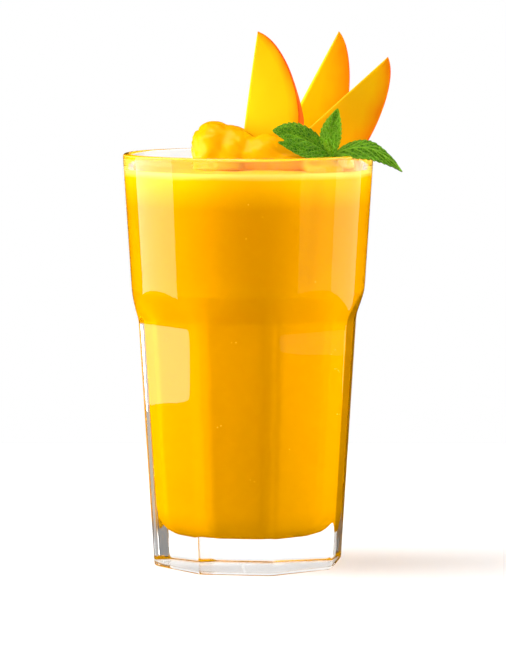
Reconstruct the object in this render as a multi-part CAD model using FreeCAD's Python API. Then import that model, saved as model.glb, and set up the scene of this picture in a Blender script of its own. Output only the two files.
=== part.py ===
import FreeCAD, Part
import math
import os

from FreeCAD import Vector

# A tall faceted tumbler of mango smoothie, in millimetres and degrees. The origin is the centre of the
# glass's foot, +Z is up, -Y is the front and +X is the right-hand side.

# Glass: pressed, with a plain conical upper wall and flat facets that end in arched ledges below it
GLASS_HEIGHT = 145.0
RIM_RADIUS = 44.0
FOOT_CONE_RADIUS = 34.8
RIM_WALL = 2.3
LIP_ROUND = 1.1
FACET_COUNT = 8
FACET_TURN = -8.0  # of the facet nearest the front, towards the right
RIDGE_INSET = 0.6  # of the ridges between facets, inside the cone
FACET_TOP = 88.0
ARCH_TOP = 97.0
LEDGE_ROUND = 5.0
FOOT_ROUND = 1.5

# Inside of the glass: a cone, a shoulder behind the ledges, a narrower cone and a round bottom
FLOOR_THICKNESS = 12.0
FACET_WALL = 7.0  # at the middle of a facet
BOTTOM_ROUND = 9.0
SHOULDER_ROUND = 6.0

# The smoothie's level
HEADSPACE = 6.0
LEVEL = GLASS_HEIGHT - HEADSPACE

# Mango slices: half-moons of flesh with skin on the curved side, stuck in the smoothie side by side.
# They are listed from front to back. A slice's straight side crosses the level at its stand, which is a
# share of the inside radius to the right. One without a stand leans towards the rim instead.
SLICE_TAPER = 0.72  # thickness at the straight side over thickness at the skin
SLICE_EDGE_ROUND = 0.5
SLICE_GAP = 0.4
FRONT_SLICE_Y = -3.0
RIM_GAP = 1.9
SLICES = {
    "mango_slice_1": {
        "stand": -0.066,
        "rise": 48.5,  # of the tip above the level
        "lean": 7.6,
        "turn": 14.0,  # of the skin towards the front
        "upper": 30.0,  # length from the tip to the widest place
        "lower": 31.0,
        "width": 19.8,
        "curve": 1.6,  # exponent of the curved side: 2 is an ellipse, 1 is straight
        "skin": 8.0,  # thickness at the skin
    },
    "mango_slice_3": {
        "stand": None,
        "rise": 39.6,
        "lean": 47.8,
        "turn": 3.0,
        "upper": 34.0,
        "lower": 36.0,
        "width": 19.0,
        "curve": 1.5,
        "skin": 7.0,
    },
    "mango_slice_2": {
        "stand": 0.153,
        "rise": 48.3,
        "lean": 28.0,
        "turn": -4.0,
        "upper": 30.0,
        "lower": 37.0,
        "width": 16.6,
        "curve": 1.45,
        "skin": 7.0,
    },
}

# Thick mango puree: overlapping egg-shaped lumps. Places and radii in plan are shares of the inside radius.
LUMPS = [
    # right, back, height above the level, radius across, radius from front to back, upright radius
    (-0.305, -0.10, 7.5, 0.190, 0.32, 9.5),
    (-0.120, -0.13, 6.0, 0.225, 0.33, 9.3),
    (0.140, -0.29, 3.5, 0.275, 0.22, 9.5),
    (0.360, -0.27, 2.5, 0.300, 0.27, 6.5),
    (0.215, 0.22, 0.6, 0.580, 0.41, 4.4),
]
# One more lump lies against the mint's stem. Its place is to the right of and behind the stem, all in mm.
STEM_LUMP = (-4.7, 13.5, 1.2, 13.2, 13.9, 5.0)

# Mint: a short stem beside the rim, at the front right, with leaves on its top
STEM_ANGLE = -35.3
STEM_FROM_WALL = 6.2
STEM_SINK = 8.0  # below the level
STEM_BELOW_RIM = 0.2
STEM_RADIUS = 1.1
KNUCKLE_RADIUS = 1.5
LEAF_THICKNESS = 1.0
LEAF_STATIONS = 10
LEAVES = [
    # bend and tip of the midrib from the stem's top, direction from the midrib to the left edge, width
    {"bend": (-10.0, 0.5, 7.5), "tip": (-20.5, 4.0, 8.6), "side": (0.1, -0.45, -0.9), "width": 9.0},
    {"bend": (-9.0, -2.5, 0.9), "tip": (-18.6, -1.0, 4.8), "side": (0.2, -0.7, -0.7), "width": 6.0},
    {"bend": (-2.0, 3.5, 8.0), "tip": (2.0, 2.5, 16.4), "side": (-1.0, -0.25, 0.0), "width": 7.6},
    {"bend": (-1.0, -2.2, 3.4), "tip": (-2.2, -2.4, 7.9), "side": (-0.9, -0.35, 0.2), "width": 4.4},
    {"bend": (13.0, -2.0, 8.2), "tip": (24.3, -2.0, -5.3), "side": (-0.1, -0.8, -0.65), "width": 9.0},
]


def between(start, end, share):
    return start + (end - start) * share


def cone_radius(height):
    """Radius of the glass's outer cone."""
    return between(FOOT_CONE_RADIUS, RIM_RADIUS, height / GLASS_HEIGHT)


def facet_distance(height):
    """Distance from the axis to the middle of a facet."""
    return (cone_radius(height) - RIDGE_INSET) * math.cos(math.pi / FACET_COUNT)


def inside_radius(height):
    """Radius of the glass's inner cone above the ledges."""
    arch_radius = cone_radius(ARCH_TOP) - FACET_WALL
    return between(arch_radius, RIM_RADIUS - RIM_WALL, (height - ARCH_TOP) / (GLASS_HEIGHT - ARCH_TOP))


def rounded_wire(corners):
    """Closed wire in the XZ plane from (x, z, radius) corners, each rounded with a tangent arc."""
    points = [Vector(x, 0, z) for x, z, _ in corners]
    edges = []
    ends = []
    for number, (_, _, radius) in enumerate(corners):
        corner = points[number]
        if radius == 0:
            ends.append((corner, corner))
            continue
        back = points[number - 1] - corner
        ahead = points[(number + 1) % len(points)] - corner
        back.normalize()
        ahead.normalize()
        half_angle = back.getAngle(ahead) / 2
        inward = back + ahead
        inward.normalize()
        start = corner + back * (radius / math.tan(half_angle))
        end = corner + ahead * (radius / math.tan(half_angle))
        crown = corner + inward * (radius / math.sin(half_angle) - radius)
        ends.append((start, end))
        edges.append(Part.Arc(start, crown, end).toShape())
    for number, (_, end) in enumerate(ends):
        start = ends[(number + 1) % len(ends)][0]
        edges.append(Part.LineSegment(end, start).toShape())
    return Part.Wire(Part.__sortEdges__(edges))


def turned(corners):
    """Solid of revolution about Z of a rounded outline."""
    face = Part.Face(rounded_wire(corners))
    return face.revolve(Vector(0, 0, 0), Vector(0, 0, 1), 360)


def cavity(top):
    """Inside of the glass up to a height. Its shoulder follows the slant of the ledges."""
    upper_radius = inside_radius(ARCH_TOP)
    lower_radius = facet_distance(FACET_TOP) - FACET_WALL
    floor_radius = facet_distance(FLOOR_THICKNESS) - FACET_WALL
    return turned([
        (0, FLOOR_THICKNESS, 0),
        (floor_radius, FLOOR_THICKNESS, BOTTOM_ROUND),
        (lower_radius, FACET_TOP, SHOULDER_ROUND),
        (upper_radius, ARCH_TOP, SHOULDER_ROUND),
        (inside_radius(top), top, 0),
        (0, top, 0),
    ])


def facet_cutter():
    """What the mould leaves off the cone in front of one facet: the flat, and the ledge that ends it."""
    far = 2 * RIM_RADIUS
    ledge_slope = (ARCH_TOP - FACET_TOP) / (cone_radius(ARCH_TOP) - facet_distance(FACET_TOP))
    ledge_end = FACET_TOP + (far - facet_distance(FACET_TOP)) * ledge_slope
    below = -FOOT_ROUND
    wire = rounded_wire([
        (facet_distance(below), below, 0),
        (far, below, 0),
        (far, ledge_end, 0),
        (facet_distance(FACET_TOP), FACET_TOP, LEDGE_ROUND),
    ])
    cutter = Part.Face(wire).extrude(Vector(0, 2 * RIM_RADIUS, 0))
    cutter.translate(Vector(0, -RIM_RADIUS, 0))
    return cutter


def glass():
    inner_rim = RIM_RADIUS - RIM_WALL
    below_lip = GLASS_HEIGHT - 2 * RIM_WALL
    body = turned([
        (0, 0, 0),
        (FOOT_CONE_RADIUS, 0, 0),
        (RIM_RADIUS, GLASS_HEIGHT, LIP_ROUND),
        (inner_rim, GLASS_HEIGHT, LIP_ROUND),
        (inside_radius(below_lip) - RIM_WALL, below_lip, 0),
        (0, below_lip, 0),
    ])
    for number in range(FACET_COUNT):
        cutter = facet_cutter()
        # The cutter faces +X, and the front is a quarter turn clockwise from there.
        angle = FACET_TURN - 90 + number * 360 / FACET_COUNT
        cutter.rotate(Vector(0, 0, 0), Vector(0, 0, 1), angle)
        body = body.cut(cutter)
    foot_edges = [edge for edge in body.Edges if edge.BoundBox.ZMax < FOOT_ROUND / 10]
    body = body.makeFillet(FOOT_ROUND, foot_edges)
    return body.cut(cavity(GLASS_HEIGHT))


def curved_side(length, width, exponent):
    """Points of one half of a slice's curved side, from its pointed end to its widest place."""
    steps = 8
    points = []
    for step in range(steps + 1):
        share = (step / steps) ** 1.5
        reach = (1 - (1 - share) ** exponent) ** (1 / exponent)
        points.append((share * length, reach * width))
    return points


def upright_slice(upper, lower, width, curve, skin):
    """A half-moon in the XZ plane with its straight side on Z and its tip at the origin."""
    above = [Vector(across, 0, -down) for down, across in curved_side(upper, width, curve)]
    below = [Vector(across, 0, up - upper - lower) for up, across in curved_side(lower, width, curve)]
    side = Part.BSplineCurve()
    side.interpolate(above + below[-2::-1])
    chord = Part.LineSegment(Vector(0, 0, -upper - lower), Vector(0, 0, 0))
    face = Part.Face(Part.Wire([side.toShape(), chord.toShape()]))
    slab = face.extrude(Vector(0, skin, 0))
    slab.translate(Vector(0, -skin / 2, 0))
    margin = 1.0
    cut_side = skin * SLICE_TAPER / 2
    skin_side = skin / 2 + (skin / 2 - cut_side) * margin / width
    outline = [
        Vector(0, -cut_side, margin),
        Vector(width + margin, -skin_side, margin),
        Vector(width + margin, skin_side, margin),
        Vector(0, cut_side, margin),
        Vector(0, -cut_side, margin),
    ]
    wedge = Part.Face(Part.makePolygon(outline)).extrude(Vector(0, 0, -upper - lower - 2 * margin))
    solid = slab.common(wedge)
    return solid.makeFillet(SLICE_EDGE_ROUND, solid.Edges)


def reach_in_rim(solid):
    """How far right a solid reaches, and how far from the middle plane, where it is inside the rim."""
    size = 8 * RIM_RADIUS
    slab = Part.makeBox(size, size, HEADSPACE, Vector(-size / 2, -size / 2, LEVEL))
    box = solid.common(slab).optimalBoundingBox()
    return box.XMax, max(abs(box.YMin), abs(box.YMax))


def mango_slices():
    placed = {}
    place_y = FRONT_SLICE_Y
    before = 0
    for name, sizes in SLICES.items():
        solid = upright_slice(
            sizes["upper"], sizes["lower"], sizes["width"], sizes["curve"], sizes["skin"]
        )
        lean = math.radians(sizes["lean"])
        solid.rotate(Vector(0, 0, 0), Vector(0, 1, 0), sizes["lean"])
        solid.translate(Vector(sizes["rise"] * math.tan(lean), 0, LEVEL + sizes["rise"]))
        solid.rotate(Vector(0, 0, 0), Vector(0, 0, 1), -sizes["turn"])
        if before:
            place_y += before + SLICE_GAP + sizes["skin"] / 2
        solid.translate(Vector(0, place_y, 0))
        if sizes["stand"] is None:
            right, aside = reach_in_rim(solid)
            room = math.sqrt((inside_radius(GLASS_HEIGHT) - RIM_GAP) ** 2 - aside**2)
            solid.translate(Vector(room - right, 0, 0))
        else:
            solid.translate(Vector(sizes["stand"] * inside_radius(LEVEL), 0, 0))
        # The front slice turns its thick side away from the others, so only its thin side needs room.
        before = sizes["skin"] / 2 * (SLICE_TAPER if not placed else 1)
        placed[name] = solid
    return placed


def egg(centre, radii):
    matrix = FreeCAD.Matrix()
    matrix.scale(*radii)
    matrix.move(Vector(*centre))
    return Part.makeSphere(1).transformGeometry(matrix)


def stem_top():
    angle = math.radians(STEM_ANGLE)
    out = inside_radius(GLASS_HEIGHT) - STEM_FROM_WALL
    return Vector(out * math.cos(angle), out * math.sin(angle), GLASS_HEIGHT - STEM_BELOW_RIM)


def mango_puree():
    """Lumps that lie on the smoothie, joined into one."""
    share = inside_radius(LEVEL)
    lumps = []
    for right, back, height, across, along, upright in LUMPS:
        centre = (right * share, back * share, LEVEL + height)
        lumps.append(egg(centre, (across * share, along * share, upright)))
    right, back, height, across, along, upright = STEM_LUMP
    centre = (stem_top().x + right, stem_top().y + back, LEVEL + height)
    lumps.append(egg(centre, (across, along, upright)))
    heap = lumps[0].fuse(lumps[1:])
    size = 4 * RIM_RADIUS
    smoothie_side = Part.makeBox(size, size, LEVEL, Vector(-size / 2, -size / 2, 0))
    return heap.cut(smoothie_side).removeSplitter()


def leaf(stem_top, bend, tip, side, width):
    """A pointed blade: flat diamonds along a bent midrib that starts at the stem's top."""
    bend = stem_top + Vector(*bend)
    tip = stem_top + Vector(*tip)
    side = Vector(*side)
    side.normalize()
    rings = []
    for station in range(1, LEAF_STATIONS):
        share = station / LEAF_STATIONS
        centre = stem_top * (1 - share) ** 2 + bend * (2 * share * (1 - share)) + tip * share**2
        along = (bend - stem_top) * (1 - share) + (tip - bend) * share
        upward = along.cross(side)
        upward.normalize()
        half = side * (width / 2 * math.sin(math.pi * share**0.85) ** 0.8)
        thick = upward * (LEAF_THICKNESS / 2)
        rings.append([centre + half, centre + thick, centre - half, centre - thick])
    faces = []
    for corner in range(4):
        following = (corner + 1) % 4
        faces.append([stem_top, rings[0][corner], rings[0][following]])
        faces.append([tip, rings[-1][following], rings[-1][corner]])
        for near, away in zip(rings, rings[1:]):
            faces.append([near[corner], away[corner], away[following]])
            faces.append([near[corner], away[following], near[following]])
    solid = Part.Solid(Part.Shell([Part.Face(Part.makePolygon(face + face[:1])) for face in faces]))
    if solid.Volume < 0:
        solid.reverse()
    return solid


def mint_sprig():
    top = stem_top()
    foot = Vector(top.x - STEM_RADIUS, top.y + STEM_RADIUS, LEVEL - STEM_SINK)
    stem = Part.makeCylinder(STEM_RADIUS, (top - foot).Length, foot, top - foot)
    knuckle = Part.makeSphere(KNUCKLE_RADIUS, top)
    return stem.fuse([knuckle] + [leaf(top, **sizes) for sizes in LEAVES])


def main():
    nodes = mango_slices()
    nodes["mint_sprig"] = mint_sprig()
    garnish = list(nodes.values())
    nodes["mango_puree"] = mango_puree().cut(garnish)
    nodes["smoothie"] = cavity(LEVEL).cut(garnish)
    nodes["glass"] = glass()
    os.makedirs("parts", exist_ok=True)
    for name, shape in nodes.items():
        print(name, len(shape.Solids), "solid", round(shape.Volume), "mm3, valid", shape.isValid())
        shape.exportStep(f"parts/{name}.step")


main()
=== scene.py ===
import math
import random

import bmesh
import bpy
from mathutils import Matrix, Vector, noise


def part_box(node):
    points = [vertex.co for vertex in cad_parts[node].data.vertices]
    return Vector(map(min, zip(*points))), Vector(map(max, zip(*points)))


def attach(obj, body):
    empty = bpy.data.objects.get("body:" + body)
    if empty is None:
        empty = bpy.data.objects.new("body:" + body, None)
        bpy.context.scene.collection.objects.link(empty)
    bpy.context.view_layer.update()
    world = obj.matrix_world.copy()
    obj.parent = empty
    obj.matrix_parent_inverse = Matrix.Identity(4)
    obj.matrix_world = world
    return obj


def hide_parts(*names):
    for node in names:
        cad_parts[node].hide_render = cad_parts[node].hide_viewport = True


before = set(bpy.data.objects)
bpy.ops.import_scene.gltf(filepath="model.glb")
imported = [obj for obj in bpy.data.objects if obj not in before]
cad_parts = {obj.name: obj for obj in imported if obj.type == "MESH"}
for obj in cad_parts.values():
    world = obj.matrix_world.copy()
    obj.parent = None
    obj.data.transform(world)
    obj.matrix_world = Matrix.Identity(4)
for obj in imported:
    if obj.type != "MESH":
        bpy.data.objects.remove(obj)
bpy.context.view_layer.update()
scene = bpy.context.scene
scene.view_settings.view_transform = "Standard"

# Camera: a long lens 1.4 m in front of the glass and a little above its rim, looking down at its middle.
LENS = 221.1
camera = bpy.data.objects.new("camera", bpy.data.cameras.new("camera"))
scene.collection.objects.link(camera)
camera.data.lens = LENS
camera.location = (0.0017, -1.4, 0.210)
aim = Vector((0.0017, 0.0, 0.0844))
camera.rotation_euler = (aim - camera.location).to_track_quat("-Z", "Y").to_euler()
scene.camera = camera


# Studio: a white floor and a pale room. Two tall softboxes, a panel and a softbox above are mirrored in the
# glass; two fills, and a narrow spot on the garnish, only light. The room is white where it is seen, dim
# for what it lights, and through the glass it darkens from the back towards the viewer's side.
class Value:
    """One output of a shader node. Sums and products of values add the Math nodes that they need."""

    def __init__(self, socket):
        self.socket = socket

    def math(self, operation, *inputs):
        sockets = dict(enumerate(inputs))
        return add_node(self.socket.id_data, "Math", {"operation": operation}, sockets)

    def __add__(self, other):
        return self.math("ADD", self, other)

    def __radd__(self, other):
        return self.math("ADD", other, self)

    def __sub__(self, other):
        return self.math("SUBTRACT", self, other)

    def __rsub__(self, other):
        return self.math("SUBTRACT", other, self)

    def __mul__(self, other):
        return self.math("MULTIPLY", self, other)


def add_node(tree, kind, settings=None, sockets=None, output=0):
    """A node of a kind, with its settings, then the values or links of its sockets. Returns one output."""
    node = tree.nodes.new("ShaderNode" + kind)
    for name, setting in (settings or {}).items():
        if name == "stops":
            ramp = node.color_ramp
            while len(ramp.elements) < len(setting):
                ramp.elements.new(1.0)
            for element, (place, colour) in zip(ramp.elements, setting):
                element.position = place
                element.color = (*colour, 1.0)
        else:
            setattr(node, name, setting)
    for name, value in (sockets or {}).items():
        if isinstance(value, Value):
            tree.links.new(value.socket, node.inputs[name])
        else:
            node.inputs[name].default_value = value
    return Value(node.outputs[output]) if node.outputs else node


def new_material(name):
    """A material with an empty tree."""
    material = bpy.data.materials.new(name)
    material.use_nodes = True
    material.node_tree.nodes.clear()
    return material, material.node_tree


def add_surface(tree, **sockets):
    """The shader of an opaque material, and the output that it goes to."""
    named = {name.replace("_", " "): value for name, value in sockets.items()}
    shader = add_node(tree, "BsdfPrincipled", None, named)
    add_node(tree, "OutputMaterial", None, {"Surface": shader})


def relief(tree, height, strength, distance):
    return add_node(tree, "Bump", None, {"Height": height, "Strength": strength, "Distance": distance})


def mix_colours(tree, share, first, second):
    settings = {"data_type": "RGBA"}
    return add_node(tree, "Mix", settings, {0: share, 6: first, 7: second}, output=2)


def softbox(name, place, aim, width, height, power, reflected=True, spread=180.0):
    """A rectangular area light that faces a point, with its beam's spread in degrees."""
    lamp = bpy.data.lights.new(name, "AREA")
    lamp.shape = "RECTANGLE"
    lamp.size = width
    lamp.size_y = height
    lamp.energy = power
    lamp.spread = math.radians(spread)
    light = bpy.data.objects.new(name, lamp)
    light.location = place
    light.rotation_euler = (Vector(aim) - Vector(place)).to_track_quat("-Z", "Y").to_euler()
    light.visible_glossy = reflected
    scene.collection.objects.link(light)


softbox("left_softbox", (-1.0, 0.17, 0.53), (0.0, 0.0, 0.53), 1.0, 1.3, 9.0)
softbox("right_softbox", (0.951, 0.309, 0.54), (0.0, 0.0, 0.54), 0.73, 1.3, 2.6)
softbox("right_panel", (0.93, -0.37, 0.54), (0.0, 0.0, 0.54), 0.70, 1.3, 0.6)
softbox("left_fill", (-1.1, -0.1, 0.3), (0.0, 0.0, 0.1), 0.8, 1.0, 19.0, reflected=False)
softbox("right_fill", (1.1, 0.05, 0.3), (0.0, 0.0, 0.1), 0.8, 1.0, 19.0, reflected=False)
softbox(
    "garnish_spot", (0.45, -1.1, 0.75), (0.02, 0.0, 0.185), 0.12, 0.12, 0.027, reflected=False, spread=9.0
)
softbox("top_softbox", (-0.35, 0.0, 1.2), (0.0, 0.0, 0.1), 0.9, 0.9, 8.0)

SEEN_ROOM = 1.0
LIT_ROOM = 0.2
DIM_BACKDROP = 0.15
# Through the glass, the room is dim where a ray's share of +Y is the first and white where it is the second.
DIM_SIDE = -0.2
WHITE_SIDE = 0.5
world = bpy.data.worlds.new("room")
scene.world = world
world.cycles_visibility.glossy = False
world.use_nodes = True
world.node_tree.nodes.clear()
tree = world.node_tree
direct = add_node(tree, "LightPath", output="Is Camera Ray")
through_glass = add_node(tree, "LightPath", output="Is Transmission Ray")
bounces = add_node(tree, "LightPath", output="Diffuse Depth")
direction = add_node(tree, "TexCoord", output="Generated")
backward = add_node(tree, "SeparateXYZ", None, {"Vector": direction}, "Y")
side_range = {0: backward, 1: DIM_SIDE, 2: WHITE_SIDE, 3: DIM_BACKDROP, 4: 1.0}
backdrop = add_node(tree, "MapRange", None, side_range)
seen = direct.math("MAXIMUM", direct, (through_glass - bounces) * backdrop)
strength = seen * (SEEN_ROOM - LIT_ROOM) + LIT_ROOM
white_room = add_node(tree, "Background", None, {"Color": (1.0, 1.0, 1.0, 1.0), "Strength": strength})
add_node(tree, "OutputWorld", None, {"Surface": white_room})

FLOOR_SIZE = 0.7
floor_mesh = bpy.data.meshes.new("floor")
bm = bmesh.new()
bmesh.ops.create_grid(bm, x_segments=1, y_segments=1, size=FLOOR_SIZE / 2)
bm.to_mesh(floor_mesh)
bm.free()
floor = bpy.data.objects.new("floor", floor_mesh)
floor.visible_glossy = False
floor.visible_diffuse = False
scene.collection.objects.link(floor)
floor_material, tree = new_material("white_floor")
speckle = add_node(tree, "TexNoise", None, {"Scale": 40.0, "Detail": 3.0})
floor_white = mix_colours(tree, speckle, (0.90, 0.90, 0.90, 1), (0.93, 0.93, 0.93, 1))
add_surface(tree, Base_Color=floor_white, Roughness=0.7, Specular_IOR_Level=0.2)
floor_mesh.materials.append(floor_material)


# Glass: one piece of pressed soda-lime glass. The wall is turned as a plain tumbler, then its outside is
# drawn in to eight flats, each ending upwards in a slanting ledge with an arched edge.
MM = 0.001
glass_low, glass_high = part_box("glass")
GLASS_HEIGHT = glass_high.z
RIM_RADIUS = 44.0 * MM
FOOT_CONE_RADIUS = 34.8 * MM
RIM_WALL = 2.3 * MM
LIP_ROUND = 1.1 * MM
FACET_COUNT = 8
FACET_TURN = math.radians(-8.0)
RIDGE_INSET = 0.6 * MM
FACET_TOP = 88.0 * MM
ARCH_TOP = 97.0 * MM
FOOT_ROUND = 1.5 * MM
FLOOR_THICKNESS = 12.0 * MM
FACET_WALL = 7.0 * MM
BOTTOM_ROUND = 9.0 * MM
SHOULDER_ROUND = 6.0 * MM
LEDGE_SOFTNESS = 0.35 * MM
ARRIS_SOFTNESS = 0.3 * MM
COLUMNS_PER_FACET = 28
INSIDE_FLATNESS = 0.95
INSIDE_SOFTNESS = 0.15 * MM
COLUMN_CROWDING = 0.8
SECTOR = math.tau / FACET_COUNT
# Angle of the first ridge from +X. The front, -Y, is a quarter turn clockwise from +X.
FIRST_RIDGE = FACET_TURN - math.pi / 2 + SECTOR / 2
# A flat turned further away than this, in radians, never forms the outside.
FLAT_LIMIT = 1.2
MERGE_DISTANCE = 0.002 * MM


def between(start, end, share):
    return start + (end - start) * share


def cone_radius(height):
    return between(FOOT_CONE_RADIUS, RIM_RADIUS, height / GLASS_HEIGHT)


def facet_distance(height):
    return (cone_radius(height) - RIDGE_INSET) * math.cos(SECTOR / 2)


def inside_radius(height):
    share = (height - ARCH_TOP) / (GLASS_HEIGHT - ARCH_TOP)
    return between(cone_radius(ARCH_TOP) - FACET_WALL, RIM_RADIUS - RIM_WALL, share)


def soft_least(distances, softness):
    """The least of some distances, rounded off where two are alike."""
    least = min(distances)
    spare = sum(math.exp((least - distance) / softness) for distance in distances)
    return least - softness * math.log(spare)


def outer_radius(angle, height):
    """Radius of the glass's outside at an angle from a ridge."""
    cone = cone_radius(height)
    ledge_slope = (cone_radius(ARCH_TOP) - facet_distance(FACET_TOP)) / (ARCH_TOP - FACET_TOP)
    ledge = facet_distance(FACET_TOP) + (height - FACET_TOP) * ledge_slope
    flat = -soft_least([-facet_distance(height), -ledge], LEDGE_SOFTNESS)
    from_facet = angle % SECTOR - SECTOR / 2
    turns = [from_facet + turn for turn in (0, SECTOR, -SECTOR)]
    sides = [flat / math.cos(turn) for turn in turns if abs(turn) < FLAT_LIMIT]
    return soft_least([cone, *sides], ARRIS_SOFTNESS)


def flattened(angle, radius, height):
    """A radius of the inside at an angle from a ridge: below the ledges it is drawn in behind each flat."""
    from_facet = angle % SECTOR - SECTOR / 2
    flat = soft_least([radius, radius * INSIDE_FLATNESS / math.cos(from_facet)], INSIDE_SOFTNESS)
    share = (ARCH_TOP - height) / (ARCH_TOP - FACET_TOP)
    return between(radius, flat, min(1.0, max(0.0, share)))


def rounded_line(corners, spacing):
    """Points along a line of (radius, height, rounding) corners, no further apart than the spacing."""
    places = [Vector(corner[:2]) for corner in corners]
    points = [places[0]]
    for number in range(1, len(corners)):
        corner = places[number]
        rounding = corners[number][2]
        back = (places[number - 1] - corner).normalized()
        if rounding:
            ahead = (places[number + 1] - corner).normalized()
            half_angle = back.angle(ahead) / 2
            reach = rounding / math.tan(half_angle)
            centre = corner + (back + ahead).normalized() * (rounding / math.sin(half_angle))
            start = corner + back * reach
            end = corner + ahead * reach
        else:
            start = corner
        run = start - points[-1]
        steps = max(1, math.ceil(run.length / spacing))
        points += [points[-1] + run * (step / steps) for step in range(1, steps + 1)]
        if rounding:
            first = start - centre
            last = end - centre
            arc_steps = max(4, math.ceil(first.angle(last) * rounding / spacing))
            for step in range(1, arc_steps + 1):
                points.append(centre + first.slerp(last, step / arc_steps).normalized() * rounding)
    return points


def spin_line(bm, points, steps):
    """Turns a line of (radius, height) points once round Z."""
    line = [bm.verts.new((point.x, 0, point.y)) for point in points]
    edges = [bm.edges.new(pair) for pair in zip(line, line[1:])]
    bmesh.ops.spin(
        bm, geom=line + edges, cent=(0, 0, 0), axis=(0, 0, 1), angle=math.tau, steps=steps, use_merge=True
    )


def new_piece(name, bm, *materials, smooth=True):
    """Merges doubles, turns the faces outwards and makes the piece, which rides on the one body."""
    bmesh.ops.remove_doubles(bm, verts=bm.verts, dist=MERGE_DISTANCE)
    bmesh.ops.recalc_face_normals(bm, faces=bm.faces)
    for face in bm.faces:
        face.smooth = smooth
    mesh = bpy.data.meshes.new(name)
    bm.to_mesh(mesh)
    bm.free()
    for material in materials:
        mesh.materials.append(material)
    piece = bpy.data.objects.new(name, mesh)
    scene.collection.objects.link(piece)
    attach(piece, "root")
    return piece


lip_middle = RIM_RADIUS - RIM_WALL / 2
outside = rounded_line(
    [
        (0, 0, 0),
        (FOOT_CONE_RADIUS, 0, FOOT_ROUND),
        (RIM_RADIUS, GLASS_HEIGHT, LIP_ROUND),
        (lip_middle, GLASS_HEIGHT, 0),
    ],
    spacing=0.8 * MM,
)
cavity_corners = [
    (0, FLOOR_THICKNESS, 0),
    (facet_distance(FLOOR_THICKNESS) - FACET_WALL, FLOOR_THICKNESS, BOTTOM_ROUND),
    (facet_distance(FACET_TOP) - FACET_WALL, FACET_TOP, SHOULDER_ROUND),
    (inside_radius(ARCH_TOP), ARCH_TOP, SHOULDER_ROUND),
]
inside = rounded_line(
    cavity_corners + [(RIM_RADIUS - RIM_WALL, GLASS_HEIGHT, LIP_ROUND), (lip_middle, GLASS_HEIGHT, 0)],
    spacing=2.5 * MM,
)


def turned_with_flats(line, shape):
    """Turns a line in columns that are crowded near the ridges, then gives each vertex its new radius."""
    bm = bmesh.new()
    spin_line(bm, line, FACET_COUNT * COLUMNS_PER_FACET)
    for vert in bm.verts:
        angle = math.atan2(vert.co.y, vert.co.x)
        angle -= COLUMN_CROWDING / FACET_COUNT * math.sin(FACET_COUNT * angle)
        radius = shape(angle, vert.co.xy.length, vert.co.z)
        angle += FIRST_RIDGE
        vert.co = (radius * math.cos(angle), radius * math.sin(angle), vert.co.z)
    return bm


def drawn_in(angle, radius, height):
    return radius * outer_radius(angle, height) / cone_radius(height)


bm = turned_with_flats(outside, drawn_in)
wall = turned_with_flats(inside, flattened)
wall_mesh = bpy.data.meshes.new("inner_wall")
wall.to_mesh(wall_mesh)
wall.free()
bm.from_mesh(wall_mesh)
bpy.data.meshes.remove(wall_mesh)

glass_material, tree = new_material("clear_glass")
place = add_node(tree, "TexCoord", output="Object")
waves = add_node(tree, "TexNoise", None, {"Vector": place, "Scale": 45.0, "Detail": 1.0})
glass_shader = add_node(
    tree,
    "BsdfPrincipled",
    None,
    {
        "Base Color": (0.985, 0.99, 0.985, 1),
        "Roughness": 0.0,
        "IOR": 1.5,
        "Transmission Weight": 1.0,
        "Normal": relief(tree, waves, 0.05, 0.0006),
    },
)
lamp_light = add_node(tree, "BsdfTransparent", None, {"Color": (0.95, 0.95, 0.95, 1)})
shadow = add_node(tree, "LightPath", output="Is Shadow Ray")
glass_surface = add_node(tree, "MixShader", None, {0: shadow, 1: glass_shader, 2: lamp_light})
add_node(tree, "OutputMaterial", None, {"Surface": glass_surface})
tumbler = new_piece("tumbler", bm, glass_material)
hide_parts("glass")


# Smoothie: blended mango, thick and opaque. It fills the glass, so its side reaches just into the glass's
# wall, and its top lies a little higher at the wall and in soft ripples elsewhere.
LEVEL = GLASS_HEIGHT - 6.0 * MM
INTO_WALL = 0.25 * MM
CREEP_HEIGHT = 0.7 * MM
CREEP_REACH = 3.0 * MM
CREEP_KNEE_REACH = 0.3 * CREEP_REACH
CREEP_KNEE_HEIGHT = 0.35 * CREEP_HEIGHT
SURFACE_RIPPLE = 0.35 * MM
RIPPLE_SCALE = 130
SMOOTHIE_COLOUR = (0.655, 0.285, 0.0, 1)
PALE_SMOOTHIE = (0.675, 0.298, 0.0, 1)
# The open top's own colour, which is also painted down the side near the level as a glow of light let in by
# the top.
TOP_AND_PAINTED_GLOW_SMOOTHIE = (1.0, 0.50, 0.001, 1)
# A paler colour at the very top of the side, partly froth and partly painted glow.
FROTH_AND_PAINTED_GLOW = (1.0, 0.66, 0.12, 1)
FROTH_AND_GLOW_DEPTH = 1.8 * MM
FROTH_AND_GLOW_UNEVENNESS = 0.8
PAINTED_GLOW_DEPTH = 12.0 * MM

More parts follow.
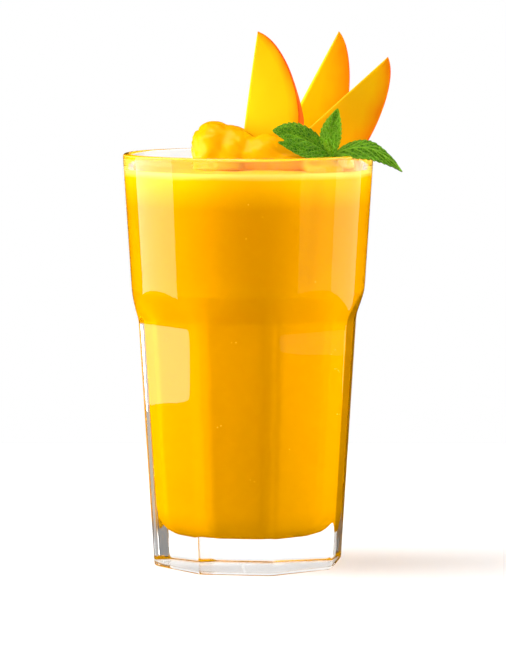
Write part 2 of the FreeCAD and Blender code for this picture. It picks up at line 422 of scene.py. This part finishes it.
creep_radius = inside_radius(LEVEL + CREEP_HEIGHT)
side_corners = [
    (radius + INTO_WALL * (radius > 0), height - INTO_WALL * (height == FLOOR_THICKNESS), rounding)
    for radius, height, rounding in cavity_corners
]
filling = rounded_line(
    side_corners
    + [
        (creep_radius + INTO_WALL, LEVEL + CREEP_HEIGHT, 0),
        (creep_radius, LEVEL + CREEP_HEIGHT, 0),
        (creep_radius - CREEP_KNEE_REACH, LEVEL + CREEP_KNEE_HEIGHT, 0),
        (creep_radius - CREEP_REACH, LEVEL, 0),
        (0, LEVEL, 0),
    ],
    spacing=1.5 * MM,
)
bm = turned_with_flats(filling, flattened)
for vert in bm.verts:
    radius = math.hypot(vert.co.x, vert.co.y)
    if vert.co.z > LEVEL - 0.1 * MM and radius < creep_radius - 0.1 * CREEP_REACH:
        calm = min(1.0, (creep_radius - radius) / CREEP_REACH)
        vert.co.z += calm * SURFACE_RIPPLE * noise.noise(vert.co * RIPPLE_SCALE)


def opaque_food(name, colour, pale, scale, roughness, specular, grain):
    """Thick fruit: two close colours in soft patches, with fine grains that stand up by a height."""
    material, tree = new_material(name)
    place = add_node(tree, "TexCoord", output="Object")
    patches = add_node(tree, "TexNoise", None, {"Vector": place, "Scale": scale, "Detail": 4.0})
    grains = add_node(tree, "TexNoise", None, {"Vector": place, "Scale": 900.0, "Detail": 3.0})
    add_surface(
        tree,
        Base_Color=mix_colours(tree, patches, colour, pale),
        Roughness=roughness,
        Specular_IOR_Level=specular,
        Normal=relief(tree, grains, 0.6, grain),
    )
    return material


against_glass, tree = new_material("smoothie_against_glass")
place = add_node(tree, "TexCoord", output="Object")
below_level = LEVEL - add_node(tree, "SeparateXYZ", None, {"Vector": place}, "Z")
patches = add_node(tree, "TexNoise", None, {"Vector": place, "Scale": 60.0, "Detail": 4.0})
uneven = (patches - 0.5) * FROTH_AND_GLOW_UNEVENNESS
deep = mix_colours(tree, patches, SMOOTHIE_COLOUR, PALE_SMOOTHIE)
# Painted glow: the side is painted lighter and yellower towards the level, over its top 12 mm, standing in
# for light let in by the open top.
painted_glow = mix_colours(tree, below_level * (-1 / PAINTED_GLOW_DEPTH) + 1, deep, TOP_AND_PAINTED_GLOW_SMOOTHIE)
# The last 1.8 mm below the level are paler still, partly froth and partly painted glow.
froth_and_painted_glow = mix_colours(tree, below_level * (-1 / FROTH_AND_GLOW_DEPTH) + 1 + uneven, painted_glow, FROTH_AND_PAINTED_GLOW)
add_surface(tree, Base_Color=froth_and_painted_glow, Roughness=0.6, Specular_IOR_Level=0.0)
open_surface = opaque_food(
    "smoothie_surface", TOP_AND_PAINTED_GLOW_SMOOTHIE, (1.0, 0.58, 0.01, 1), 90.0, 0.5, 0.12, 0.2 * MM
)
smoothie = new_piece("smoothie_filling", bm, against_glass, open_surface)
for face in smoothie.data.polygons:
    face.material_index = int(face.normal.z > 0.2 and face.center.z > LEVEL - 1.0 * MM)
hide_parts("smoothie")


# Bubbles: a few specks of pale froth caught between the smoothie and the glass, alone or in short strings.
# Each is a small bead, half of it in the smoothie's side.
STRINGS = 34
STRING_LENGTHS = (1, 1, 1, 2, 4)
# Heights in mm where strings start, below and above the ledges.
BEAD_BANDS = ((22, 84), (102, 134))
BEAD_SIZES = (0.15 * MM, 0.28 * MM)
BEAD_SPACING = 2.2 * MM
BEAD_DRIFT = 0.4
random.seed(5)
bm = bmesh.new()
for string in range(STRINGS):
    height = random.choice([random.uniform(*band) for band in BEAD_BANDS]) * MM
    angle = random.uniform(0, math.tau)
    for bead in range(random.choice(STRING_LENGTHS)):
        radius = facet_distance(height) - FACET_WALL if height < FACET_TOP else inside_radius(height)
        radius = flattened(angle, radius, height) + INTO_WALL
        turned = angle + FIRST_RIDGE
        place = Matrix.Translation((radius * math.cos(turned), radius * math.sin(turned), height))
        bmesh.ops.create_icosphere(bm, subdivisions=2, radius=random.uniform(*BEAD_SIZES), matrix=place)
        angle += random.uniform(0.5, 1.0) * BEAD_SPACING / radius
        height += random.uniform(-BEAD_DRIFT, BEAD_DRIFT) * BEAD_SPACING
bead_froth = opaque_food("pale_froth", (0.85, 0.44, 0.01, 1), (1.0, 0.62, 0.1, 1), 90.0, 0.4, 0.1, 0.0)
beads = new_piece("smoothie_bubbles", bm, bead_froth)
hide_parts("smoothie")


# Puree: thick mango pulp dropped on the smoothie. Round lumps are run together into one skin, which is
# then folded in long soft ridges.
LUMPS = [
    # right, back, height above the level, radius across, radius from front to back, upright radius;
    # heights and upright radii are in mm, the rest are shares of the glass's inside radius at the level
    (-0.305, -0.10, 7.5, 0.190, 0.32, 9.5),
    (-0.120, -0.13, 6.0, 0.225, 0.33, 9.3),
    (0.140, -0.29, 3.5, 0.275, 0.22, 9.5),
    (0.360, -0.27, 2.5, 0.300, 0.27, 6.5),
    (0.590, -0.17, 1.2, 0.325, 0.34, 5.0),
    (0.215, 0.22, 0.6, 0.580, 0.41, 4.4),
    (0.640, -0.52, 0.5, 0.170, 0.15, 3.6),
    (-0.215, -0.20, 0.6, 0.290, 0.40, 3.4),
]
PUREE_VOXEL = 0.7 * MM
PUREE_SUNK = 1.5 * MM
FOLD_DEPTH = 1.0 * MM
FOLD_ACROSS = 55
FOLD_ALONG = 110
FOLD_SLANT = 60
FOLD_UPWARD = 210
FOLD_RISE = 1.6
FOLD_SINK = 0.5
WARP_SCALE = 90
WARP = 0.9
FINE_SCALE = 380
FINE_SHARE = 0.35

bm = bmesh.new()
reach = inside_radius(LEVEL)
for right, back, height, across, along, upright in LUMPS:
    place = Matrix.Translation((right * reach, back * reach, LEVEL + height * MM))
    size = Matrix.Diagonal((across * reach, along * reach, upright * MM, 1))
    bmesh.ops.create_icosphere(bm, subdivisions=4, radius=1, matrix=place @ size)
puree_material = opaque_food(
    "mango_puree", (0.95, 0.37, 0.0, 1), (0.98, 0.48, 0.002, 1), 120.0, 0.2, 0.09, 0.05 * MM
)
puree = new_piece("mango_puree_dollop", bm, puree_material)


def apply_modifier(piece, kind, **settings):
    """Adds a modifier to a piece and makes its result the piece's own mesh."""
    modifier = piece.modifiers.new(kind.lower(), kind)
    for name, value in settings.items():
        setattr(modifier, name, value)
    graph = bpy.context.evaluated_depsgraph_get()
    shaped = bpy.data.meshes.new_from_object(piece.evaluated_get(graph))
    piece.modifiers.clear()
    old = piece.data
    name = old.name
    piece.data = shaped
    bpy.data.meshes.remove(old)
    shaped.name = name


apply_modifier(puree, "REMESH", mode="VOXEL", voxel_size=PUREE_VOXEL, use_smooth_shade=True)
apply_modifier(puree, "SMOOTH", factor=0.6, iterations=22)
bm = bmesh.new()
bm.from_mesh(puree.data)
bmesh.ops.bisect_plane(
    bm, geom=bm.verts[:] + bm.edges[:] + bm.faces[:], plane_co=(0, 0, LEVEL - PUREE_SUNK),
    plane_no=(0, 0, -1), clear_outer=True
)
bmesh.ops.holes_fill(bm, edges=[edge for edge in bm.edges if edge.is_boundary])
bm.normal_update()
for vert in bm.verts:
    place = vert.co
    warp = noise.noise(place * WARP_SCALE) * WARP
    upward = place.x * FOLD_SLANT + place.z * FOLD_UPWARD + warp
    fold = noise.noise(Vector((place.x * FOLD_ACROSS, place.y * FOLD_ALONG, upward)))
    fine = noise.noise(place * FINE_SCALE)
    vert.co += vert.normal * (FOLD_DEPTH * (FOLD_RISE * abs(fold) - FOLD_SINK + FINE_SHARE * fine))
bm.to_mesh(puree.data)
bm.free()
for face in puree.data.polygons:
    face.use_smooth = True
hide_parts("mango_puree")


# Mango slices: lengthwise half-moons of ripe flesh with thin red-orange skin left on the curved side.
# Each is a flat cut face drawn out to its thickness, thinner at the straight side, with soft edges.
SLICE_TAPER = 0.72
SLICES = {
    "mango_slice_1": dict(
        rise=48.5, lean=7.6, turn=14.0, upper=30.0, lower=31.0, width=19.8, curve=1.6, skin=8.0
    ),
    "mango_slice_3": dict(
        rise=39.6, lean=47.8, turn=3.0, upper=34.0, lower=36.0, width=19.0, curve=1.5, skin=7.0
    ),
    "mango_slice_2": dict(
        rise=48.3, lean=28.0, turn=-4.0, upper=30.0, lower=37.0, width=16.6, curve=1.45, skin=7.0
    ),
}
SKIN_CROWN = 0.35 * MM
CROWN_WIDTH = 5 * MM
# Share of a slice's way round its section that is skin, and share of each side that is straight.
SKIN_START = 0.49
SKIN_END = 0.76
STRAIGHT_SHARE = 0.84
# The skin leans in towards the back near the tip, less and less down to this many mm below the tip.
SKIN_UNDERCUT = 0.30
UNDERCUT_END = 30.0
TIP_THICKNESS = 0.28
TIP_TAPER = 8
SKIN_THINNING = 1.3
CUT_THINNING = 0.6
EDGE_SOFTNESS = 0.55 * MM
FLESH_WAVE = 0.12 * MM
FLESH_WAVE_SCALE = 160
LENGTH_STEPS = 64
WIDTH_STEPS = 20


def slice_width(down, upper, lower, width, curve):
    """Width of a slice at a distance below its tip."""
    share = abs(down - upper) / (upper if down < upper else lower)
    return width * max(0.0, 1 - share**curve) ** (1 / curve)


def flesh_material(name, orange_shift):
    """Flesh that is orange at the skin and yellow inside. A larger orange shift makes it more orange
    throughout.
    """
    material, tree = new_material(name)
    to_skin = add_node(tree, "Attribute", {"attribute_name": "to_skin"}, output="Fac")
    fibre_place = add_node(tree, "TexCoord", output="Object")
    stretched = add_node(tree, "Mapping", None, {"Vector": fibre_place, "Scale": (1.0, 1.0, 0.25)})
    fibres = add_node(tree, "TexNoise", None, {"Vector": stretched, "Scale": 380.0, "Detail": 4.0})
    patches = add_node(tree, "TexNoise", None, {"Vector": fibre_place, "Scale": 70.0, "Detail": 2.0})
    ripeness = to_skin * (1 - orange_shift) + (patches - 0.5) * 0.2 + (fibres - 0.5) * 0.10
    colour = add_node(
        tree,
        "ValToRGB",
        {
            "stops": [
                (0.0, (0.98, 0.24, 0.0)),
                (0.07, (1.0, 0.36, 0.0)),
                (0.22, (1.0, 0.53, 0.0)),
                (0.5, (0.98, 0.55, 0.001)),
                (1.0, (1.0, 0.64, 0.003)),
            ]
        },
        {0: ripeness},
    )
    add_surface(
        tree,
        Base_Color=colour,
        Roughness=0.5 + fibres * 0.12,
        Specular_IOR_Level=0.12,
        Normal=relief(tree, fibres, 0.4, 0.12 * MM),
    )
    return material


def skin_material():
    material, tree = new_material("mango_skin")
    place = add_node(tree, "TexCoord", output="Object")
    patches = add_node(tree, "TexNoise", None, {"Vector": place, "Scale": 55.0, "Detail": 3.0})
    pores = add_node(tree, "TexVoronoi", None, {"Vector": place, "Scale": 700.0})
    stops = [(0.3, (0.72, 0.06, 0.004)), (0.5, (0.85, 0.10, 0.004)), (0.75, (0.95, 0.24, 0.004))]
    add_surface(
        tree,
        Base_Color=add_node(tree, "ValToRGB", {"stops": stops}, {0: patches}),
        Roughness=0.55 + patches * 0.1,
        Specular_IOR_Level=0.05,
        Normal=relief(tree, pores, 0.3, 0.1 * MM),
    )
    return material


FLESHES = {
    "mango_slice_1": flesh_material("yellow_flesh", 0.0),
    "mango_slice_2": flesh_material("most_orange_flesh", 0.65),
    "mango_slice_3": flesh_material("more_orange_flesh", 0.4),
}
skin_finish = skin_material()


def slice_section(share, width, cut_thickness, skin_thickness):
    """Place on the rounded outline across a slice, from the middle of the straight side and round it once."""
    share %= 1.0
    side = int(share * 4)
    local = (share * 4 - side) * 2 - 1
    thickness = {0: cut_thickness, 2: skin_thickness}.get(side, 0)
    length = thickness or width
    rounding = min(EDGE_SOFTNESS, 0.3 * length, 0.45 * width)
    run = min(abs(local) / STRAIGHT_SHARE, 1) * (length / 2 - rounding)
    turn = max(0.0, abs(local) - STRAIGHT_SHARE) / (1 - STRAIGHT_SHARE) * math.pi / 4
    along = math.copysign(run + rounding * math.sin(turn), local)
    inset = rounding * (1 - math.cos(turn))
    if side == 0:
        return inset, -along
    if side == 2:
        crown = SKIN_CROWN * (1 - (2 * along / thickness) ** 2)
        return width - inset + crown * min(1, width / CROWN_WIDTH), along
    across = width / 2 + math.copysign(1, 2 - side) * along
    half = between(cut_thickness, skin_thickness, across / max(width, MM)) / 2
    return across, math.copysign(half - inset, side - 2)


def mango_slice(name, rise, lean, turn, upper, lower, width, curve, skin):
    """A slice in the XZ plane with its straight side on Z, then leant, turned and put where the node is."""
    bm = bmesh.new()
    bmesh.ops.create_grid(bm, x_segments=4 * WIDTH_STEPS, y_segments=LENGTH_STEPS, size=0.5)
    to_skin = bm.verts.layers.float.new("to_skin")
    for face in bm.faces:
        face.material_index = int(SKIN_START < face.calc_center_median().x + 0.5 < SKIN_END)
    for vert in bm.verts:
        share = vert.co.x + 0.5
        down = (0.5 - 0.5 * math.cos(math.pi * (vert.co.y + 0.5))) * (upper + lower)
        here = slice_width(down, upper, lower, width, curve)
        full = here / width
        skin_here = skin * between(TIP_THICKNESS, 1, full**SKIN_THINNING)
        taper = between(1, SLICE_TAPER, min(1.0, TIP_TAPER * full))
        cut_here = skin * taper * between(TIP_THICKNESS, 1, full**CUT_THINNING)
        across, depth = slice_section(share, here * MM, cut_here * MM, skin_here * MM)
        fading = min(1.0, max(0.0, 2 * (1 - down / UNDERCUT_END)))
        across -= SKIN_UNDERCUT * fading * max(0.0, depth + skin_here * MM / 2) * across / max(here * MM, MM)
        vert.co = (across, depth, -down * MM)
        vert[to_skin] = max(0.0, here - across / MM) / width
        vert.co.y += noise.noise(vert.co * FLESH_WAVE_SCALE) * FLESH_WAVE
    leant = Matrix.Rotation(math.radians(lean), 4, "Y")
    turned = Matrix.Rotation(math.radians(-turn), 4, "Z")
    foot = Matrix.Translation((rise * math.tan(math.radians(lean)) * MM, 0, LEVEL + rise * MM))
    bmesh.ops.transform(bm, matrix=turned @ foot @ leant, verts=bm.verts)
    low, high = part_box(name)
    middle = (low + high) / 2
    for axis in (0, 1):
        places = [vert.co[axis] for vert in bm.verts]
        shift = middle[axis] - (min(places) + max(places)) / 2
        for vert in bm.verts:
            vert.co[axis] += shift
    piece = new_piece(name + "_cut", bm, FLESHES[name], skin_finish)
    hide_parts(name)


for name, sizes in SLICES.items():
    mango_slice(name, **sizes)


# Mint: fresh leaves on a short square stem. Each leaf is a toothed blade with a sunken midrib and side
# veins, puffed up between them, drawn on its own length and width, and given a thin body.
STEM_ANGLE = math.radians(-35.3)
STEM_FROM_WALL = 6.2 * MM
STEM_SINK = 8.0 * MM
STEM_BELOW_RIM = 0.2 * MM
STEM_RADIUS = 1.1 * MM
STEM_SQUARENESS = 0.12
STEM_STEPS = 24
LEAF_BODY = 0.3 * MM
LEAVES = {
    # bend and tip of the midrib from the stem's top and width, in mm; direction from midrib to left edge
    "left": dict(
        bend=(-10.0, 0.5, 7.5), tip=(-20.5, 4.0, 8.6), side=(0.1, -0.45, -0.9), width=11.5, teeth=11
    ),
    "low": dict(bend=(-9.0, -2.5, 0.9), tip=(-18.6, -1.0, 4.8), side=(0.2, -0.7, -0.7), width=8.5, teeth=9),
    "upright": dict(
        bend=(-2.0, 3.5, 8.0), tip=(2.0, 2.5, 16.4), side=(-1.0, -0.25, 0.0), width=8.2, teeth=10
    ),
    "small": dict(bend=(-1.0, -2.2, 3.4), tip=(-2.2, -2.4, 7.9), side=(-0.9, -0.35, 0.2), width=4.4, teeth=6),
    "right": dict(
        bend=(13.0, -2.0, 8.2), tip=(24.3, -2.0, -5.3), side=(-0.1, -0.8, -0.65), width=10.5, teeth=13
    ),
}
LEAF_ROWS = 96
LEAF_LANES = 32
VEIN_PAIRS = 7
VEIN_SLANT = 0.32
TOOTH_DEPTH = 0.13
PUFF = 0.6 * MM
PUFF_WIDTH = 2.5 * MM
FOLD_UP = 0.16
LEAF_RIPPLE = 0.25 * MM
LEAF_RIPPLE_SCALE = 200

reach = RIM_RADIUS - RIM_WALL - STEM_FROM_WALL
stem_top = Vector((reach * math.cos(STEM_ANGLE), reach * math.sin(STEM_ANGLE), GLASS_HEIGHT - STEM_BELOW_RIM))


def leaf_material(name, blade, pale_blade, vein_and_painted_highlight):
    material, tree = new_material(name)
    chart = add_node(tree, "UVMap", {"uv_map": "blade"})
    along = add_node(tree, "SeparateXYZ", None, {"Vector": chart}, "X")
    lane = add_node(tree, "SeparateXYZ", None, {"Vector": chart}, "Y") * 2 - 1
    across = lane.math("ABSOLUTE", lane)
    step = (along - across * VEIN_SLANT) * VEIN_PAIRS
    from_vein = step.math("PINGPONG", step, 0.5)
    side_vein = from_vein.math("SMOOTH_MIN", from_vein * 9, 1.0, 0.2)
    midrib = across.math("SMOOTH_MIN", across * 14, 1.0, 0.2)
    place = add_node(tree, "TexCoord", output="Object")
    cells = add_node(tree, "TexVoronoi", {"feature": "DISTANCE_TO_EDGE"}, {"Vector": place, "Scale": 900.0})
    patches = add_node(tree, "TexNoise", None, {"Vector": place, "Scale": 700.0, "Detail": 3.0})
    net = cells.math("SMOOTH_MIN", cells * 6, 1.0, 0.3)
    green = mix_colours(tree, patches * 2.2 - 0.6, blade, pale_blade)
    # The pale colour of the midrib, the side veins and the net along the cell edges is partly the leaf's own
    # paler veins and partly a painted highlight, standing in for glints on the puffed blade.
    vein_net_and_painted_sparkle = mix_colours(tree, net * 0.5 + 0.5, vein_and_painted_highlight, green)
    veined = mix_colours(tree, side_vein.math("MINIMUM", side_vein, midrib), vein_and_painted_highlight, vein_net_and_painted_sparkle)
    add_surface(
        tree,
        Base_Color=veined,
        Roughness=0.5 + patches * 0.2,
        Specular_IOR_Level=0.12,
        Normal=relief(tree, net + patches * 0.8, 0.8, 0.35 * MM),
    )
    return material


# The older leaves are darker green than the young ones, partly as their own colour and partly as painted
# shade.
old_leaf_with_painted_shade = leaf_material(
    "mint_leaf", (0.020, 0.110, 0.001, 1), (0.10, 0.31, 0.002, 1), (0.28, 0.54, 0.03, 1)
)
young_leaf = leaf_material(
    "young_mint_leaf", (0.07, 0.26, 0.003, 1), (0.20, 0.52, 0.008, 1), (0.42, 0.72, 0.06, 1)
)


def leaf_half_width(share, teeth):
    """Half the width of a blade of width 1, with teeth that point to its tip."""
    outline = 0.5 * math.sin(math.pi * share**0.85) ** 0.8
    tooth = (share * teeth) % 1.0
    return outline * (1 - TOOTH_DEPTH * (1 - tooth**0.8) * min(1.0, 8 * share))


def mint_leaf(name, material, bend, tip, side, width, teeth):
    bend = stem_top + Vector(bend) * MM
    tip = stem_top + Vector(tip) * MM
    side = Vector(side).normalized()
    bm = bmesh.new()
    bmesh.ops.create_grid(bm, x_segments=LEAF_ROWS, y_segments=LEAF_LANES, size=0.5)
    chart = bm.loops.layers.uv.new("blade")
    for face in bm.faces:
        for loop in face.loops:
            loop[chart].uv = (loop.vert.co.x + 0.5, loop.vert.co.y + 0.5)
    for vert in bm.verts:
        share = vert.co.x + 0.5
        lane = vert.co.y * 2
        centre = stem_top * (1 - share) ** 2 + bend * (2 * share * (1 - share)) + tip * share**2
        along = (bend - stem_top) * (1 - share) + (tip - bend) * share
        upward = along.cross(side).normalized()
        half = leaf_half_width(share, teeth) * width * MM
        step = (share - abs(lane) * VEIN_SLANT) * VEIN_PAIRS
        puffed = abs(math.sin(math.pi * step)) ** 0.7 * min(1.0, 5 * abs(lane)) * (1 - abs(lane) ** 3)
        narrow = min(1.0, half / PUFF_WIDTH)
        lift = FOLD_UP * abs(lane) * half + PUFF * puffed * narrow
        lift += LEAF_RIPPLE * noise.noise(centre * LEAF_RIPPLE_SCALE + side * lane) * narrow
        vert.co = centre + side * (half * lane) + upward * lift
    leaf = new_piece(name, bm, material)
    apply_modifier(leaf, "SOLIDIFY", thickness=LEAF_BODY, offset=0.0)
    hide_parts("mint_sprig")


for name, sizes in LEAVES.items():
    mint_leaf("mint_leaf_" + name, young_leaf if name in ("upright", "small") else old_leaf_with_painted_shade, **sizes)

stem_foot = Vector((stem_top.x - STEM_RADIUS, stem_top.y + STEM_RADIUS, LEVEL - STEM_SINK))
stem_length = (stem_top - stem_foot).length
bm = bmesh.new()
# Radius and height of the stem, as shares of its own, with a swelling where the leaves join it.
stem_line = [(0, 0), (0.8, 0), (0.85, 0.5), (0.8, 0.8), (1.25, 0.96), (1.1, 1.03), (0, 1.06)]
spin_line(bm, [Vector((out * STEM_RADIUS, up * stem_length)) for out, up in stem_line], STEM_STEPS)
for vert in bm.verts:
    corner = math.cos(4 * math.atan2(vert.co.y, vert.co.x))
    vert.co.x *= 1 - STEM_SQUARENESS * corner
    vert.co.y *= 1 - STEM_SQUARENESS * corner
upright = (stem_top - stem_foot).to_track_quat("Z", "Y").to_matrix().to_4x4()
bmesh.ops.transform(bm, matrix=Matrix.Translation(stem_foot) @ upright, verts=bm.verts)
stem = new_piece("mint_stem", bm, young_leaf)
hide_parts("mint_sprig")
